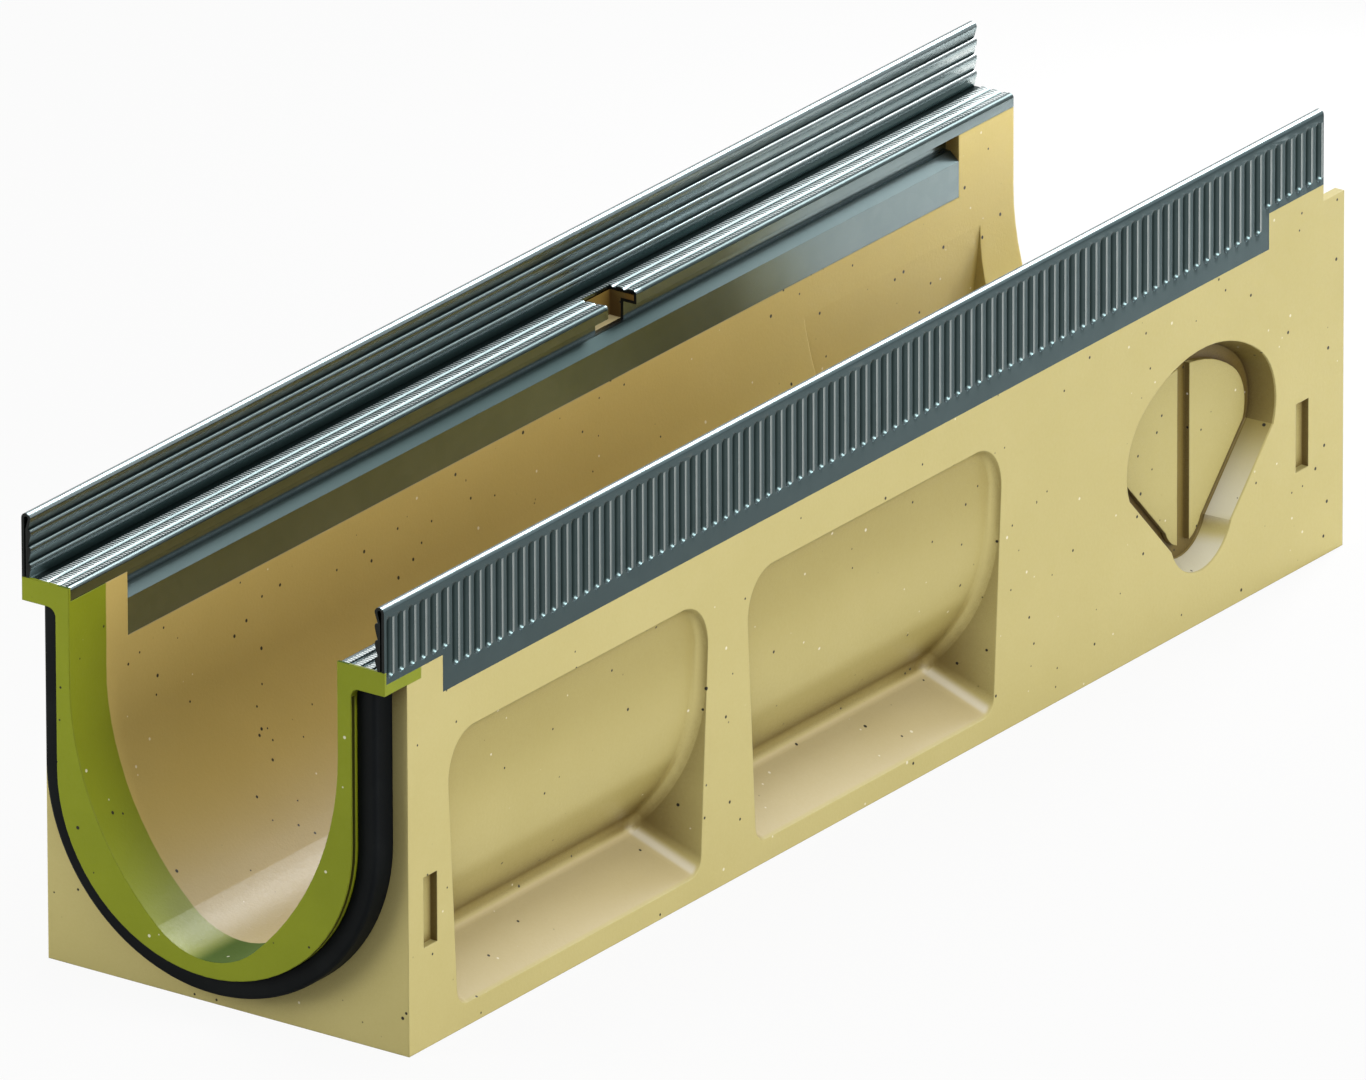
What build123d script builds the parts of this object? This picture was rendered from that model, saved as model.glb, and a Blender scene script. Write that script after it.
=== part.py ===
from build123d import *
import os
from math import asin, atan2, cos, radians, sin, sqrt, tan

os.makedirs("parts", exist_ok=True)

# Half-metre drainage channel in polymer concrete, with a galvanised steel edge rail
# cast in along each side and a rubber seal round the tongue end.
# X runs across the channel, Y along the flow from tongue to socket, Z up.
# The origin is under the middle of the channel, on the ground that it stands on.
# All sizes are in millimetres.

# Main sizes
clear_width = 100.0
body_width = 135.0
height = 150.0
rail_length = 500.0
joint_length = 11.5

# Channel inside: upright walls, a large arc on each side and a round invert
invert_height = 19.3
wall_top_of_arc = 98.0
invert_radius = 26.9

# Rounded tongue, seal and socket share one axis
socket_side_wall = 3.5
socket_floor = 5.0
seal_thickness = 7.0
socket_clearance = 2.0
rim_groove_start = 0.4
rim_groove_width = 1.5
rim_groove_depth = 1.0
seal_setback = 3.0
seal_edge_bevel = 0.8

# Land on top of the tongue, which carries the rail ends
land_thickness = 7.6
land_fillet = 3.0
land_skin = 1.0

# Edge rails, roll-formed from sheet
sheet = 1.0
valley_sheet = 0.85
seat_depth = 21.0
flange_width = 3.5
bead_count = 4
bead_depth = 1.1
ridge_pitch = 4.2
ridge_depth = 0.6
ledge_foot = 1.5
lip_height = 4.4
groove_opening = 8.6
groove_depth = 5.0
groove_slope_rise = 3.0
inner_skirt_height = 12.2
outer_skirt_height = 37.0
rail_end_zone = 30.0
end_zone_skirt_height = 25.0

# Upright grooves pressed into the outer sheet of each rail
flute_count = 89
flute_width = 3.2
flute_floor_width = 1.2
flute_depth = 0.6
flute_end_run = 1.2
flute_top_margin = 3.5
flute_end_zone_margin = 1.8
flute_skirt_margin = 6.6

# Lock pockets in the ledge for the grating
lock_pocket_centre = 288.5
lock_pocket_length = 15.0
lock_pocket_depth = 10.2

# Side recesses that lighten the casting
recess_centres = (100.2, 256.6)
recess_bottom = 7.5
recess_top = 97.5
recess_half_width_bottom = 63.5
recess_half_width_top = 68.6
recess_bottom_corner = 6.0
recess_top_corner = 15.0
recess_shelf_slope = 26.5
recess_side_draft = 13.0
recess_top_slope = 30.0
recess_overrun = 1.6
recess_shell_fillet = 4.0

# Preform for a side connection, a rounded triangle that points down
preform_centre = 433.4
preform_corner_spread = 17.0
preform_corner_height = 62.0
preform_corner_radius = 24.0
preform_bottom_height = 35.0
preform_bottom_radius = 17.5
preform_top = 91.8
preform_depth = 9.0
preform_floor_inset = 2.7
preform_plug_inset = 7.3
preform_plug_height = 2.0
preform_slot_width = 6.6

# Flat in the channel wall behind the preform
flat_setback = 0.25
flat_reach = 40.0
flat_half_width_top = 49.0
flat_half_width_bottom = 38.5
flat_bottom = 28.0
flat_bottom_corner = 10.0
flat_draft = 20.0
flat_floor_fall = 6.0

# Small upright slots near both ends of each side
slot_offset = 11.3
slot_width = 7.0
slot_height = 23.0
slot_bottom = 33.0
slot_depth = 2.5

# How far the shapes that cut run past the faces that they open, and how near counts as touching
past = 1.0
tolerance = 0.01

# Worked-out sizes
overall_length = rail_length + joint_length
front = -overall_length / 2
back = overall_length / 2
body_front = front + joint_length
socket_face = front + rail_length
half_clear = clear_width / 2
half_body = body_width / 2
seat_top = height - seat_depth
land_bottom = seat_top - land_thickness
outer_skirt_bottom = height - outer_skirt_height
end_zone_skirt_bottom = height - end_zone_skirt_height
socket_radius = half_body - socket_side_wall
round_axis_height = socket_radius + socket_floor
seal_radius = socket_radius - socket_clearance
tongue_radius = seal_radius - seal_thickness
lip_bottom = seat_top - lip_height
skirt_top = lip_bottom - groove_opening
skirt_bottom = skirt_top - inner_skirt_height
groove_back = half_clear + groove_depth
sheet_inside = half_body - sheet
ledge_back = seat_top - sheet
flange_face = half_body - flange_width


def along(start, end, section):
    """A solid of a section drawn in X and Z, from one place along the flow to another."""
    plane = Plane(origin=(0, start, 0), x_dir=(1, 0, 0), z_dir=(0, -1, 0))
    return extrude(plane * section, -(end - start))


def box(low, high):
    """A box between two opposite corners."""
    size = [b - a for a, b in zip(low, high)]
    middle = [(a + b) / 2 for a, b in zip(low, high)]
    return Pos(*middle) * Box(*size)


def both_sides(solid):
    """The solid and its mirror image on the other side of the channel."""
    return [solid, mirror(solid, Plane.YZ)]


def one_solid(shape):
    """The single solid inside a result."""
    solids = shape.solids()
    assert len(solids) == 1, "expected one solid and got %d" % len(solids)
    return solids[0]


def round_section(radius, top):
    """A U outline: a half circle on the round axis and upright sides up to the given height."""
    left, right = (-radius, round_axis_height), (radius, round_axis_height)
    bowl = ThreePointArc(left, (0, round_axis_height - radius), right)
    return make_face([bowl, Polyline(right, (radius, top), (-radius, top), left)])


def channel_section():
    """Outline of the water way, from the round invert to above the body."""
    invert_centre = invert_height + invert_radius
    drop = wall_top_of_arc - invert_centre
    side_arc_radius = (half_clear**2 + drop**2 - invert_radius**2) / (2 * (half_clear - invert_radius))
    side_arc_centre = half_clear - side_arc_radius
    meet_angle = atan2(drop, -side_arc_centre)
    meet = (
        side_arc_centre + side_arc_radius * cos(meet_angle),
        wall_top_of_arc - side_arc_radius * sin(meet_angle),
    )
    half_angle = meet_angle / 2
    side_middle = (
        side_arc_centre + side_arc_radius * cos(half_angle),
        wall_top_of_arc - side_arc_radius * sin(half_angle),
    )
    top = height + past
    wall_foot, far_foot = (half_clear, wall_top_of_arc), (-half_clear, wall_top_of_arc)
    far_meet, far_middle = (-meet[0], meet[1]), (-side_middle[0], side_middle[1])
    arcs = [
        ThreePointArc(wall_foot, side_middle, meet),
        ThreePointArc(meet, (0, invert_height), far_meet),
        ThreePointArc(far_meet, far_middle, far_foot),
    ]
    return make_face(arcs + [Polyline(far_foot, (-half_clear, top), (half_clear, top), wall_foot)])


def side_sketch(x, sketch):
    """Places a sketch drawn in (Y, Z) on an upright plane across X."""
    return Plane(origin=(x, 0, 0), x_dir=(0, 1, 0), z_dir=(1, 0, 0)) * sketch


def upright_ring(x, centre, low, high, half_low, half_high):
    """Corners of a trapezium on an upright plane across X."""
    return [
        (x, centre - half_low, low),
        (x, centre + half_low, low),
        (x, centre + half_high, high),
        (x, centre - half_high, high),
    ]


def flat_sided(ring, other):
    """A solid with flat faces between two rings of four corners."""
    faces = [Face(Wire.make_polygon(corners)) for corners in (ring, other)]
    for k in range(4):
        n = (k + 1) % 4
        faces.append(Face(Wire.make_polygon([ring[k], ring[n], other[n], other[k]])))
    return Solid(Shell(faces))


def drafted_edges(solid, reach):
    """The edges of a hollow that run from its mouth to its far end, lowest first."""
    edges = [edge for edge in solid.edges() if edge.bounding_box().size.X > reach - tolerance]
    return sorted(edges, key=lambda edge: edge.center().Z)


def preform_outline(inset):
    """The rounded triangle of the side connection, drawn in (Y, Z) and pulled in by an inset."""
    spread, high, low = preform_corner_spread, preform_corner_height, preform_bottom_height
    corner = preform_corner_radius - inset
    bottom = preform_bottom_radius - inset
    gap = preform_top - high
    top_radius = (spread**2 + gap**2 - preform_corner_radius**2) / (2 * (gap - preform_corner_radius))
    top_centre = preform_top - top_radius
    top_angle = atan2(high - top_centre, spread)
    span = sqrt(spread**2 + (high - low) ** 2)
    flank_angle = atan2(high - low, spread) - radians(90) + asin((corner - bottom) / span)

    def at(y, z, radius, angle):
        return (y + radius * cos(angle), z + radius * sin(angle))

    top_end = at(spread, high, corner, top_angle)
    corner_middle = at(spread, high, corner, (top_angle + flank_angle) / 2)
    corner_end = at(spread, high, corner, flank_angle)
    flank_end = at(0, low, bottom, flank_angle)
    mirrored = [(-y, z) for y, z in (top_end, corner_middle, corner_end, flank_end)]
    outline = [
        ThreePointArc(mirrored[0], (0, preform_top - inset), top_end),
        ThreePointArc(top_end, corner_middle, corner_end),
        Line(corner_end, flank_end),
        ThreePointArc(flank_end, (0, low - bottom), mirrored[3]),
        Line(mirrored[3], mirrored[2]),
        ThreePointArc(mirrored[2], mirrored[1], mirrored[0]),
    ]
    return Pos(front + preform_centre, 0) * make_face(outline)


def reach_from_axis(point):
    """How far a point lies from the round axis, or from the middle plane when it is above the axis."""
    return sqrt(point.X**2 + min(point.Z - round_axis_height, 0) ** 2)


def lies_on_shell(edge):
    """Whether an edge follows the outside of the shell round the water way, inside the casting's side."""
    points = [edge @ (k / 4) for k in range(5)]
    inside = any(point.X < half_body - tolerance for point in points)
    return inside and all(abs(reach_from_axis(point) - socket_radius) < tolerance for point in points)


def shelf_reach():
    """How far in from the casting's side the sloped shelf of a recess meets the round shell."""
    slope = tan(radians(recess_shelf_slope))
    drop = round_axis_height - recess_bottom
    steepness = 1 + slope**2
    run = half_body + slope * drop
    clearance = half_body**2 + drop**2 - socket_radius**2
    return (run - sqrt(run**2 - steepness * clearance)) / steepness


def side_recess(centre):
    """The hollow in the side of the casting, down to the shell round the water way."""
    reach = shelf_reach() + recess_overrun
    rise = reach * tan(radians(recess_shelf_slope))
    fall = reach * tan(radians(recess_top_slope))
    inset = reach * tan(radians(recess_side_draft))
    flare = (recess_half_width_top - recess_half_width_bottom) / (recess_top - recess_bottom)
    middle = front + centre
    mouth = upright_ring(
        half_body, middle, recess_bottom, recess_top, recess_half_width_bottom, recess_half_width_top
    )
    inner = upright_ring(
        half_body - reach,
        middle,
        recess_bottom + rise,
        recess_top - fall,
        recess_half_width_bottom + flare * rise - inset,
        recess_half_width_top - flare * fall - inset,
    )
    hollow = flat_sided(mouth, inner)
    hollow = fillet(drafted_edges(hollow, reach)[:2], recess_bottom_corner)
    hollow = fillet(drafted_edges(hollow, reach)[-2:], recess_top_corner)
    hollow = one_solid(hollow - along(front, back, round_section(socket_radius, height)))
    return one_solid(fillet([edge for edge in hollow.edges() if lies_on_shell(edge)], recess_shell_fillet))


def side_preform():
    """The hollow of the side connection, with its split plug left standing."""
    mouth = side_sketch(half_body, preform_outline(0))
    floor = side_sketch(half_body - preform_depth, preform_outline(preform_floor_inset))
    hollow = loft([mouth, floor], ruled=True)
    plug_foot = side_sketch(half_body - preform_depth, preform_outline(preform_plug_inset))
    plug = extrude(plug_foot, preform_plug_height)
    middle = front + preform_centre
    slot = box(
        (half_body - preform_depth, middle - preform_slot_width / 2, 0),
        (half_body, middle + preform_slot_width / 2, height),
    )
    return one_solid(hollow - (plug - slot))


def wall_flat():
    """The upright flat inside the channel, cut into the curved wall behind the preform."""
    plane = half_clear - flat_setback
    spread = flat_reach * tan(radians(flat_draft))
    flare = (flat_half_width_top - flat_half_width_bottom) / (wall_top_of_arc - flat_bottom)
    middle = front + preform_centre
    foot = upright_ring(
        plane, middle, flat_bottom, wall_top_of_arc, flat_half_width_bottom, flat_half_width_top
    )
    mouth = upright_ring(
        plane - flat_reach,
        middle,
        flat_bottom - flat_floor_fall,
        wall_top_of_arc + spread,
        flat_half_width_bottom - flare * flat_floor_fall + spread,
        flat_half_width_top + flare * spread + spread,
    )
    hollow = flat_sided(foot, mouth)
    return one_solid(fillet(drafted_edges(hollow, flat_reach)[:2], flat_bottom_corner))


def side_slots():
    """The two small upright slots near the ends of one side."""
    slots = []
    for centre in (body_front + slot_offset, socket_face - slot_offset):
        low = (half_body - slot_depth, centre - slot_width / 2, slot_bottom)
        high = (half_body + past, centre + slot_width / 2, slot_bottom + slot_height)
        slots.append(box(low, high))
    return slots


def lock_pocket():
    """The pocket for the grating lock, cut through the ledge into the body."""
    middle = front + lock_pocket_centre
    return box(
        (half_clear - past, middle - lock_pocket_length / 2, skirt_top + groove_slope_rise),
        (half_clear + lock_pocket_depth, middle + lock_pocket_length / 2, seat_top + past),
    )


def beads(start, end, count, outward):
    """Arcs that stand out to one side of a straight run, one for each bead."""
    (x0, z0), (x1, z1) = start, end
    points = [(x0 + (x1 - x0) * k / count, z0 + (z1 - z0) * k / count) for k in range(count + 1)]
    arcs = []
    for a, b in zip(points, points[1:]):
        crest = ((a[0] + b[0]) / 2 + outward[0], (a[1] + b[1]) / 2 + outward[1])
        arcs.append(ThreePointArc(a, crest, b))
    return arcs


def half_bead(valley, crest):
    """Half of an arc, from its valley up to its crest, where it runs level."""
    run, rise = crest[0] - valley[0], crest[1] - valley[1]
    radius = (run**2 + rise**2) / (2 * rise)
    half_angle = asin(abs(run) / radius) / 2
    side = run / abs(run)
    middle = (crest[0] - side * radius * sin(half_angle), crest[1] - radius * (1 - cos(half_angle)))
    return ThreePointArc(valley, middle, crest)


def rail_section():
    """The rolled sheet in X and Z: outer skirt, fold, beaded flange, ledge, lip, groove, inner skirt."""
    fold = flange_width / 2
    fold_height = height - fold
    bead_pitch = seat_depth / bead_count
    first_valley = height - bead_pitch
    valley = flange_face + bead_depth
    valley_back = valley + valley_sheet
    foot = seat_top - ridge_depth
    foot_back = foot - valley_sheet
    back_rise = valley_sheet - sheet
    ledge_start = flange_face - ledge_foot
    ridge_count = max(2, round((ledge_start - half_clear) / ridge_pitch))
    pitch = (ledge_start - half_clear) / ridge_count
    last_valley = half_clear + pitch
    last_crest = half_clear + pitch / 2
    slope = groove_slope_rise / groove_depth
    slope_back = skirt_top - sheet * sqrt(1 + slope**2)
    groove_top = skirt_top + groove_slope_rise
    inside = half_clear + sheet
    bend = sheet * sin(radians(45))

    seen = [
        Line((half_body, outer_skirt_bottom), (half_body, fold_height)),
        ThreePointArc((half_body, fold_height), (half_body - fold, height), (flange_face, fold_height)),
        Line((flange_face, fold_height), (valley, first_valley)),
    ]
    seen += beads((valley, first_valley), (valley, foot), bead_count - 1, (-bead_depth, 0))
    seen += [Line((valley, foot), (ledge_start, foot))]
    seen += beads((ledge_start, foot), (last_valley, foot), ridge_count - 1, (0, ridge_depth))
    seen += [
        half_bead((last_valley, foot), (last_crest, seat_top)),
        Line((last_crest, seat_top), (inside, seat_top)),
        ThreePointArc((inside, seat_top), (inside - bend, ledge_back + bend), (half_clear, ledge_back)),
        Polyline(
            (half_clear, ledge_back),
            (half_clear, lip_bottom),
            (groove_back, lip_bottom),
            (groove_back, groove_top),
            (half_clear, skirt_top),
            (half_clear, skirt_bottom),
            (inside, skirt_bottom),
            (inside, slope_back + sheet * slope),
            (groove_back + sheet, slope_back + (groove_depth + sheet) * slope),
            (groove_back + sheet, lip_bottom + sheet),
            (inside, lip_bottom + sheet),
            (inside, ledge_back),
            (last_crest, ledge_back),
        ),
    ]
    back_ridge = (0, ridge_depth + back_rise)
    hidden = [half_bead((last_valley, foot_back), (last_crest, ledge_back))]
    hidden += beads((last_valley, foot_back), (ledge_start, foot_back), ridge_count - 1, back_ridge)
    hidden += [
        Line((ledge_start, foot_back), (valley_back, foot_back)),
        Line((valley_back, foot_back), (valley_back, foot)),
    ]
    back_crest = (-bead_depth - back_rise, 0)
    hidden += beads((valley_back, foot), (valley_back, first_valley), bead_count - 1, back_crest)
    hidden += [
        Line((valley_back, first_valley), (flange_face + sheet, fold_height)),
        ThreePointArc(
            (flange_face + sheet, fold_height),
            (half_body - fold, height - sheet),
            (sheet_inside, fold_height),
        ),
        Polyline(
            (sheet_inside, fold_height), (sheet_inside, outer_skirt_bottom), (half_body, outer_skirt_bottom)
        ),
    ]
    return make_face(seen + hidden)


def flute(low, high):
    """One groove pressed into the outer sheet between two heights, with sloped sides and ends."""
    floor = flute_floor_width / 2
    wide = flute_width - floor
    run = flute_end_run
    outer = upright_ring(half_body + flute_depth, 0, low - run, high + run, wide, wide)
    inner = upright_ring(half_body - flute_depth, 0, low + run, high - run, floor, floor)
    return flat_sided(outer, inner)


def flutes():
    """The row of flutes along one rail, shorter where the skirt is cut back."""
    top = height - flute_top_margin
    long_flute = flute(outer_skirt_bottom + flute_skirt_margin, top)
    short_flute = flute(end_zone_skirt_bottom + flute_end_zone_margin, top)
    pitch = rail_length / flute_count
    tools = []
    for k in range(flute_count):
        place = pitch * (k + 0.5)
        from_end = min(place, rail_length - place) - flute_width / 2
        tool = short_flute if from_end < rail_end_zone else long_flute
        tools.append(Pos(0, front + place, 0) * tool)
    return tools


def rail_blank():
    """One edge rail before its flutes are pressed, cut back low down near both ends."""
    rail = along(front, socket_face, rail_section())
    cuts = [lock_pocket()]
    split = (groove_back + sheet + sheet_inside) / 2
    for start, end in ((front, front + rail_end_zone), (socket_face - rail_end_zone, socket_face)):
        cuts.append(box((half_clear, start, 0), (split, end, lip_bottom)))
        cuts.append(box((split, start, 0), (half_body, end, end_zone_skirt_bottom)))
    cuts.append(box((half_clear, front, 0), (half_body, front + land_skin, seat_top)))
    return one_solid(rail - cuts)


def groove_void():
    """The empty groove under one lip, between the end zones."""
    groove_top = skirt_top + groove_slope_rise
    corners = [
        (half_clear - past, skirt_top),
        (half_clear, skirt_top),
        (groove_back, groove_top),
        (groove_back, lip_bottom),
        (half_clear - past, lip_bottom),
    ]
    section = make_face(Polyline(*corners, close=True))
    return along(front + rail_end_zone, socket_face - rail_end_zone, section)


def land_corner():
    """The fillet between the tongue's outside and the underside of one land."""
    x, z = tongue_radius + land_fillet, land_bottom - land_fillet
    block = Pos(x - land_fillet / 2, z + land_fillet / 2) * Rectangle(land_fillet, land_fillet)
    return block - Pos(x, z) * Circle(land_fillet)


def tongue():
    """The rounded tongue, the lands above it and the groove round its rim."""
    land_width = half_body - half_clear + past
    land_middle = (land_bottom + ledge_back) / 2
    land = Pos(half_body - land_width / 2, land_middle) * Rectangle(land_width, ledge_back - land_bottom)
    section = round_section(tongue_radius, ledge_back)
    for piece in (land, land_corner()):
        section += [piece, mirror(piece, Plane.YZ)]
    solid = along(front, body_front, section)
    rim_top = land_bottom - land_fillet
    rim = round_section(tongue_radius + past, rim_top)
    rim -= round_section(tongue_radius - rim_groove_depth, rim_top)
    start = front + rim_groove_start
    return solid - along(start, start + rim_groove_width, rim)


def ledge_skin():
    """The thin skin of the casting in front of the ledge, at the tongue end."""
    return box((half_clear, front, ledge_back), (half_body, front + land_skin, seat_top))


def channel_body(rails):
    """The whole casting in one piece, cast round the edge rails."""
    solid = box((-half_body, body_front, 0), (half_body, socket_face, ledge_back))
    solid += box((-half_body, socket_face, 0), (half_body, back, land_bottom - socket_clearance))
    solid += tongue()
    solid += both_sides(ledge_skin())
    solid -= along(front - past, back + past, channel_section())
    solid -= along(socket_face, back + past, round_section(socket_radius, height))
    cuts = [side_recess(c) for c in recess_centres]
    cuts += [side_preform(), wall_flat(), lock_pocket(), groove_void()] + side_slots()
    for cut in cuts:
        solid -= both_sides(cut)
    return one_solid(solid - rails)


def end_seal():
    """The rubber seal that lies round the tongue, below the lands."""
    section = round_section(seal_radius, land_bottom) - round_section(tongue_radius, land_bottom)
    corner = land_corner()
    section -= [corner, mirror(corner, Plane.YZ)]
    solid = one_solid(along(front + seal_setback, body_front, section))
    rim = [
        edge
        for edge in solid.edges().group_by(Axis.Y)[0]
        if edge.center().Z < land_bottom - land_fillet
        and reach_from_axis(edge @ 0.5) > seal_radius - seal_thickness / 2
    ]
    return one_solid(chamfer(rim, seal_edge_bevel))


blank = rail_blank()
edge_rail_right = one_solid(blank - flutes())
edge_rail_left = one_solid(mirror(edge_rail_right, Plane.YZ))
pieces = {
    "channel_body": channel_body(both_sides(blank)),
    "edge_rail_left": edge_rail_left,
    "edge_rail_right": edge_rail_right,
    "end_seal": end_seal(),
}
for name, solid in pieces.items():
    export_step(solid, "parts/%s.step" % name)
    print(name, round(solid.volume), "cubic mm")
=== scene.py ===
# %% [markdown]
# # A half-metre drainage channel
# The channel has three finishes: sand-coloured polymer concrete, galvanised steel along both top
# edges and a black rubber seal round the tongue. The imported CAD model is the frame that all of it
# is built on, so it is loaded first. Blender works in metres, and the sizes of this object read
# best in millimetres, so one helper turns a point in millimetres into a point in metres.

# %% Load the frame
import math

import bmesh
import bpy
import numpy as np
from mathutils import Matrix, Vector


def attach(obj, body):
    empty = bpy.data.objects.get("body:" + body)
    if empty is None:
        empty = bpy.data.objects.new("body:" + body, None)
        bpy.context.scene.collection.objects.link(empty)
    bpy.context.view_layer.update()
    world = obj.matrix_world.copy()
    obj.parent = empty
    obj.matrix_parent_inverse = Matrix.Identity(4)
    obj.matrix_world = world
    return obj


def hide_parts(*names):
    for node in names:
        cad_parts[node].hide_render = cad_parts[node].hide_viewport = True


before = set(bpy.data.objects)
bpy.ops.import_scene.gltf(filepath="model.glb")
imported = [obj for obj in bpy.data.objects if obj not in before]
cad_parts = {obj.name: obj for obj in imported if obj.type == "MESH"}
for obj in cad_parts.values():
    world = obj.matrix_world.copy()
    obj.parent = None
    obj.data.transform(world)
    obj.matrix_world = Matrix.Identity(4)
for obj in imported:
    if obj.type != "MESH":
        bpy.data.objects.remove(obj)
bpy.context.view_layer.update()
front = -255.75


def mm(*values):
    """A point in metres from one in millimetres."""
    return Vector([v / 1000 for v in values])


# %% [markdown]
# ## The camera
# The picture was taken from far away with a long lens, so parallel edges stay nearly parallel. A
# camera is worked out here from four things that are easy to reason about: the compass direction
# it looks from, its height above the horizon, its distance, and the point that it looks at.

# %% Place the camera
camera_data = bpy.data.cameras.new("camera")
camera_data.lens = 872.26
camera_data.sensor_width = 36
camera_data.clip_end = 100
camera = bpy.data.objects.new("camera", camera_data)
bpy.context.scene.collection.objects.link(camera)
bpy.context.scene.camera = camera

compass, rise, roll = (math.radians(angle) for angle in (35.369, 22.142, 0.167))
look_at = mm(2.57, -9.38, 75)
camera_distance = 10.166
ahead = Vector((-math.sin(compass) * math.cos(rise), math.cos(compass) * math.cos(rise), -math.sin(rise)))
right = Vector((math.cos(compass), math.sin(compass), 0))
up = right.cross(ahead)
camera_right = right * math.cos(roll) - up * math.sin(roll)
camera_up = right * math.sin(roll) + up * math.cos(roll)
camera.rotation_mode = "QUATERNION"
camera.rotation_quaternion = Matrix([camera_right, camera_up, -ahead]).transposed().to_quaternion()
camera.location = look_at - ahead * camera_distance
print("camera at", [round(v, 2) for v in camera.location])

# %% [markdown]
# ## Node helpers
# Each finish is a graph of shader nodes. A graph can be wired by hand in the editor, but written
# as code it can be read and changed line by line. These helpers add a node, do one sum, mix two
# colours and make soft noise.

# %% Node helpers


def new_material(name):
    """A material with its principled shader, and the tree that they are in."""
    material = bpy.data.materials.new(name)
    material.use_nodes = True
    return material, material.node_tree, material.node_tree.nodes["Principled BSDF"]


def put(tree, kind, **settings):
    """Adds a node, and sets its fields by name and its inputs by number or by their own name."""
    node = tree.nodes.new("ShaderNode" + kind)
    inputs = settings.pop("inputs", {})
    for field, value in settings.items():
        setattr(node, field, value)
    for key, value in inputs.items():
        if isinstance(value, bpy.types.NodeSocket):
            tree.links.new(value, node.inputs[key])
        else:
            node.inputs[key].default_value = value
    return node


def maths(tree, operation, a, b=0.0, clamp=False):
    """The result of one sum on two values, either of which may be a socket."""
    return put(tree, "Math", operation=operation, use_clamp=clamp, inputs={0: a, 1: b}).outputs[0]


def blend(tree, share, first, second, blend_type="MIX"):
    """A mix of two colours."""
    inputs = {0: share, 6: first, 7: second}
    return put(tree, "Mix", data_type="RGBA", blend_type=blend_type, inputs=inputs).outputs[2]


def noise(tree, vector, scale, detail, roughness=0.5):
    """Soft noise from 0 to 1, with its scale in lumps a metre."""
    inputs = {"Vector": vector, "Scale": scale, "Detail": detail, "Roughness": roughness}
    return put(tree, "TexNoise", inputs=inputs).outputs[0]


print("node helpers ready")

# %% [markdown]
# ## Masks
# Much of this finish depends on the place on the object: the tongue is green, the recesses lie in
# shade. A mask says where, with 1 for yes and 0 for no, and it is worked out from the place and
# from the way that the surface faces. Painting by hand would also do it, but a mask that follows
# sizes can be moved with the part.

# %% Mask helpers


def step(tree, value, low, high):
    """A smooth step from 0 to 1 as the value goes from low to high."""
    node = put(tree, "MapRange", interpolation_type="SMOOTHSTEP", inputs={0: value, 1: low, 2: high})
    return node.outputs[0]


def above(tree, value, limit):
    """Where a value is above a limit."""
    return maths(tree, "GREATER_THAN", value, limit)


def below(tree, value, limit):
    """Where a value is below a limit."""
    return maths(tree, "LESS_THAN", value, limit)


def off(tree, value, centre):
    """How far a value lies to either side of a centre."""
    return maths(tree, "ABSOLUTE", maths(tree, "SUBTRACT", value, centre))


def outside_of(tree, mask):
    """Where a mask does not hold."""
    return maths(tree, "SUBTRACT", 1, mask)


def part_of(tree, mask, share):
    """A mask made weaker."""
    return maths(tree, "MULTIPLY", mask, share)


def all_of(tree, first, *others):
    """Where all the masks hold at once."""
    for mask in others:
        first = maths(tree, "MULTIPLY", first, mask)
    return first


def toned(tree, mask, colour, factors):
    """A colour whose red, green and blue are multiplied by three factors where a mask holds."""
    return blend(tree, mask, colour, blend(tree, 1.0, colour, (*factors, 1), "MULTIPLY"))


print("mask helpers ready")

# %% [markdown]
# ## Polymer concrete: the ground colour
# The casting is quartz sand bound in resin, and it copies a polished mould, so it is smooth and
# satin. A flat colour would look like painted plastic. Two noises make it stone: a large one lets
# the colour drift from hand to hand, and a fine one is the sand itself.

# %% The ground colour
concrete, tree, shader = new_material("polymer_concrete")
point = put(tree, "TexCoord").outputs["Object"]
drift = noise(tree, point, 18.0, 4.0, 0.6)
grain = noise(tree, point, 900.0, 3.0, 0.7)
sand = blend(tree, step(tree, drift, 0.3, 0.7), (0.515, 0.45, 0.186, 1), (0.54, 0.474, 0.204, 1))
sand = blend(tree, part_of(tree, grain, 0.2), sand, (0.42, 0.33, 0.10, 1))

place = put(tree, "VectorMath", operation="SCALE", inputs={0: point, "Scale": 1000.0}).outputs[0]
x, y, z = put(tree, "SeparateXYZ", inputs={0: place}).outputs
normal = put(tree, "NewGeometry").outputs["Normal"]
facing_x, facing_y, facing_z = put(tree, "SeparateXYZ", inputs={0: normal}).outputs
print("ground colour has", len(tree.nodes), "nodes")

# %% [markdown]
# ## Polymer concrete: the water way
# The inside of the channel is smoother than the outside. Its colour carries painted light: it is
# browner, as painted light bounced between the walls of the trough, it has a painted pale sheen on
# its round floor, where it faces the sky, and it is lighter towards the far end, as painted light
# where daylight comes in. Lamps alone don't give that in a narrow trough, so three masks help. They
# use the reach from the round axis that tongue, seal and socket share.

# %% The water way
axis_height = 69.0
below_axis = maths(tree, "MINIMUM", maths(tree, "SUBTRACT", z, axis_height), 0)
squares = [maths(tree, "POWER", value, 2) for value in (x, below_axis)]
from_axis = maths(tree, "SQRT", maths(tree, "ADD", *squares))

inside = outside_of(tree, step(tree, from_axis, 54.0, 54.6))
sand = toned(tree, inside, sand, (1.04, 0.90, 0.72))
invert = all_of(tree, inside, step(tree, facing_z, 0.45, 0.9))
sand = toned(tree, invert, sand, (0.86, 0.93, 1.55))
far_end = all_of(tree, inside, step(tree, y, 0.0, 240.0))
sand = toned(tree, far_end, sand, (1.14, 1.24, 1.34))
print("with the water way", len(tree.nodes), "nodes")
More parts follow.
